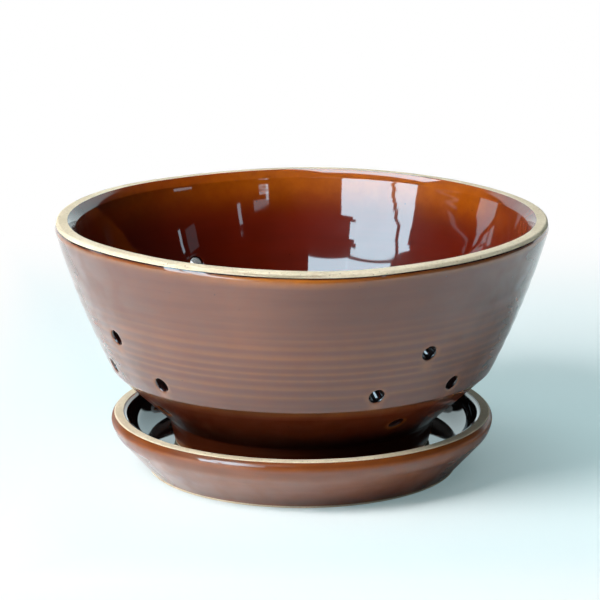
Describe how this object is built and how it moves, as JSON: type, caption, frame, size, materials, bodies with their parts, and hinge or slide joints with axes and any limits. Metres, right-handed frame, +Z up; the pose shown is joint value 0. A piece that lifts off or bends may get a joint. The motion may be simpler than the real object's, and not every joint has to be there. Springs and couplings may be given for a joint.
{
  "type": "berry colander bowl",
  "caption": "Round stoneware berry colander bowl with a flared wall and clusters of drain holes, standing loose in a shallow drip saucer.",
  "frame": {"origin": "centre of the saucer's foot ring, on the surface that the saucer stands on", "axes": "+Z up along the axis that bowl and saucer share; -Y towards the viewer of the picture, +X to the viewer's right"},
  "size_m": [0.1693, 0.1694, 0.0875],
  "materials": {
    "brown_glaze": "glossy brown glaze over stoneware, thin and rust-coloured on edges",
    "bare_clay": "bare fired stoneware, matt, on both rims and both foot rings"
  },
  "bodies": {
    "saucer": {"drip_saucer": "brown_glaze"},
    "bowl": {"colander_bowl": "brown_glaze"}
  },
  "joints": [
    {"name": "bowl_lift", "type": "slide", "parent": "saucer", "child": "bowl", "axis": [0, 0, 1], "range_m": [0, 0.09]}
  ]
}
